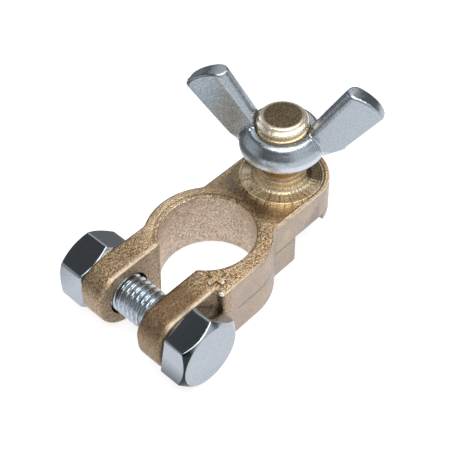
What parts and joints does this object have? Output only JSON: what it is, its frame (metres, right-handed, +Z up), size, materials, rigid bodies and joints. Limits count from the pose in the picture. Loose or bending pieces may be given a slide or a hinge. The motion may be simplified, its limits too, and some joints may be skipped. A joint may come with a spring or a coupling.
{
  "type": "battery terminal clamp",
  "caption": "Brass clamp ring for a tapered battery post, tightened across its two ears by a hexagon bolt and nut, with an upright threaded stud and a wing nut for a cable lug.",
  "frame": {"origin": "on the post bore's axis, at the clamp ring's underside", "axes": "+Z up along the bore, +X from the bore towards the stud, +Y towards the clamp nut (the bolt's head is on the -Y side)"},
  "size_m": [0.0535, 0.0344, 0.0374],
  "materials": {
    "brass": "as-forged brass, satin and slightly grainy",
    "bolt_zinc": "bright zinc plate",
    "nut_zinc": "bright zinc plate",
    "wing_zinc": "bright zinc plate, satin on the wings' faces"
  },
  "bodies": {
    "clamp": {"clamp_body": "brass", "clamp_bolt": "bolt_zinc"},
    "clamp_nut": {"clamp_nut": "nut_zinc"},
    "wing_nut": {"wing_nut": "wing_zinc"}
  },
  "joints": [
    {"name": "wing_nut_turn", "type": "hinge", "parent": "clamp", "child": "wing_nut", "pos_m": [0.0206, 0, 0.0232], "axis": [0, 0, 1], "continuous": true},
    {"name": "clamp_nut_turn", "type": "hinge", "parent": "clamp", "child": "clamp_nut", "pos_m": [-0.0162, 0.01325, 0.00675], "axis": [0, 1, 0], "continuous": true}
  ]
}
